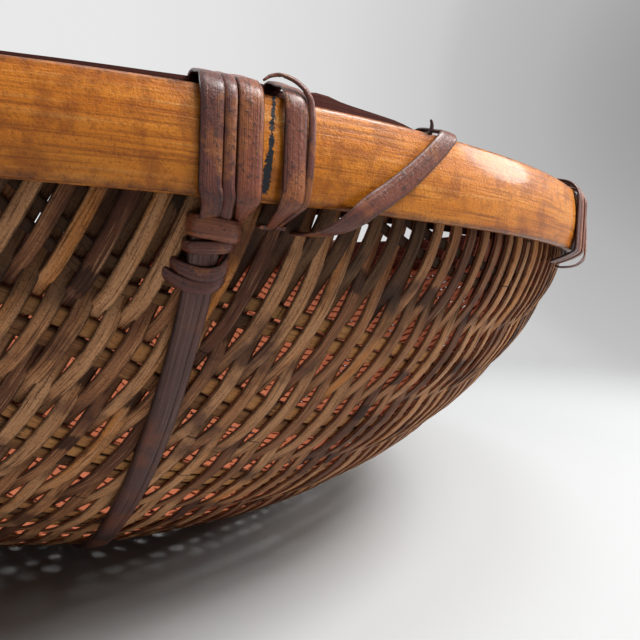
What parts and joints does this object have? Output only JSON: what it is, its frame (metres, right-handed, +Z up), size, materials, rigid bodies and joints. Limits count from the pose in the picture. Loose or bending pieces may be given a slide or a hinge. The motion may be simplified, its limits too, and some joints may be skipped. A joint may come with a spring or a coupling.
{
  "type": "bamboo basket",
  "caption": "Round shallow bowl basket woven from split bamboo, with a broad lashed hoop rim and ribs crossing under the bottom for it to stand on.",
  "frame": {"origin": "on the ground under the middle of the bowl", "axes": "+Z up through the open mouth, rib 1 along Y on the -X side of the middle, -Y at the front"},
  "size_m": [0.6016, 0.6021, 0.1842],
  "materials": {
    "amber_hoop": "smooth amber bamboo skin, satin",
    "dark_hoop": "dark red-brown bamboo, dull",
    "woven_strip": "split bamboo strips, brown with fibre grain outside and orange skin side inside",
    "rib": "smoked purple-brown bamboo with long cracks",
    "binding_strand": "split cane, dark red-brown with a soft sheen"
  },
  "bodies": {
    "root": {"woven_body": "woven_strip", "rim_core": "woven_strip", "outer_hoop": "amber_hoop", "inner_hoop": "dark_hoop", "rib_1": "rib", "rib_2": "rib", "rib_3": "rib", "rim_lashing_1a": "binding_strand", "rim_lashing_1b": "binding_strand", "rim_lashing_1c": "binding_strand", "rim_lashing_2a": "binding_strand", "rim_lashing_2b": "binding_strand", "rim_lashing_2c": "binding_strand", "rim_lashing_3a": "binding_strand", "rim_lashing_3b": "binding_strand", "rim_lashing_3c": "binding_strand", "rib_knot_1a": "binding_strand", "rib_knot_1b": "binding_strand", "rib_knot_2a": "binding_strand", "rib_knot_2b": "binding_strand", "rib_knot_3a": "binding_strand", "rib_knot_3b": "binding_strand", "diagonal_strand_1a": "binding_strand", "diagonal_strand_1b": "binding_strand", "diagonal_strand_1c": "binding_strand", "diagonal_strand_2a": "binding_strand", "diagonal_strand_2b": "binding_strand", "diagonal_strand_2c": "binding_strand", "diagonal_strand_3a": "binding_strand", "diagonal_strand_3b": "binding_strand", "diagonal_strand_3c": "binding_strand"}
  },
  "joints": []
}
